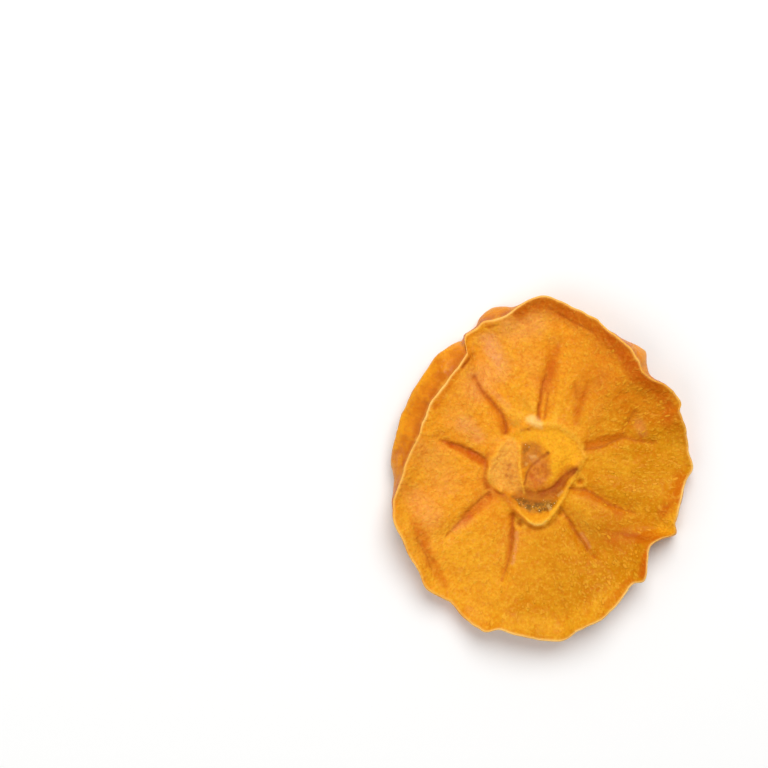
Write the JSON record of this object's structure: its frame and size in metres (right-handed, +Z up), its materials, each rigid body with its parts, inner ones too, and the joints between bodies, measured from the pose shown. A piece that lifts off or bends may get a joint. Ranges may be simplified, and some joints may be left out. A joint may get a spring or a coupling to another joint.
{
  "type": "dried persimmon slice",
  "caption": "Flat slice of dried persimmon with its peel as a wavy standing rim, a sunken core and a star of seed slits.",
  "frame": {"origin": "middle of the bounding box, on the surface that the slice rests on", "axes": "+Z up, with the cut face of the star upwards; +Y along the slice's longest side, towards the top of the picture; +X to the right of the picture"},
  "size_m": [0.0606, 0.0692, 0.0094],
  "materials": {
    "dried_flesh": "satin"
  },
  "bodies": {
    "root": {"persimmon_slice": "dried_flesh"}
  },
  "joints": []
}
